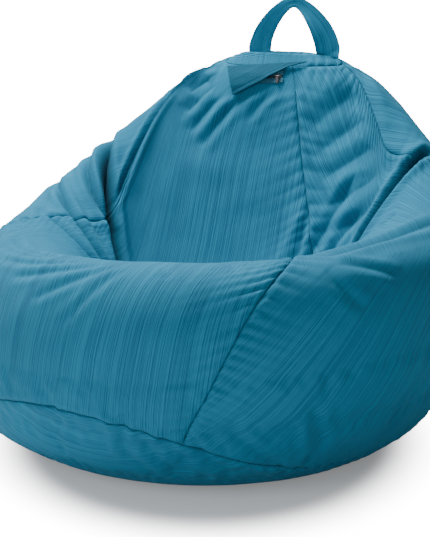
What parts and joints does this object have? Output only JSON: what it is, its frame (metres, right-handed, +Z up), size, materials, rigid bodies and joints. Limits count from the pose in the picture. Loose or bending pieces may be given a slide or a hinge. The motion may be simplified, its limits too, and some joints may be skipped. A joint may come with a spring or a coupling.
{
  "type": "bean bag chair",
  "caption": "Teardrop bean bag chair with a ribbed cloth cover, a carry handle on the crest and a short flap-covered zip.",
  "frame": {"origin": "on the floor, at the middle of the flat face of the base that the chair rests on", "axes": "+Z up, front of the chair towards -Y, +X to the right for someone who looks at the chair from the front"},
  "size_m": [1.1148, 1.105, 0.9401],
  "materials": {
    "cover_cloth": "matte",
    "liner_cloth": "matte",
    "beads": "matte",
    "zip_tape": "matte",
    "zip_teeth": "satin",
    "zip_metal": "satin"
  },
  "bodies": {
    "bag": {"front_panel": "cover_cloth", "right_panel": "cover_cloth", "back_panel": "cover_cloth", "left_panel": "cover_cloth", "base_panel": "cover_cloth", "top_panel": "cover_cloth", "inner_liner": "liner_cloth", "bead_filling": "beads", "handle_tab_left": "cover_cloth", "handle_tab_right": "cover_cloth", "zip_tape_upper": "zip_tape", "zip_tape_lower": "zip_tape", "zip_teeth_upper": "zip_teeth", "zip_teeth_lower": "zip_teeth", "zip_stop_closed": "zip_metal", "zip_stop_open": "zip_metal"},
    "handle": {"carry_handle": "cover_cloth"},
    "flap": {"zip_flap": "cover_cloth"},
    "slider": {"zip_slider": "zip_metal", "zip_pull": "zip_metal"}
  },
  "joints": [
    {"name": "handle_fold", "type": "hinge", "parent": "bag", "child": "handle", "pos_m": [0.061, 0.372, 0.8161], "axis": [-1, 0, 0], "range_deg": [-80, 80]},
    {"name": "flap_lift", "type": "hinge", "parent": "bag", "child": "flap", "pos_m": [0.01, 0.33124, 0.78344], "axis": [-0.9945, -0.0475, -0.0931], "range_deg": [0, 90]},
    {"name": "zip_open", "type": "slide", "parent": "bag", "child": "slider", "axis": [-0.9945, -0.0475, -0.0931], "range_m": [0, 0.1]}
  ]
}
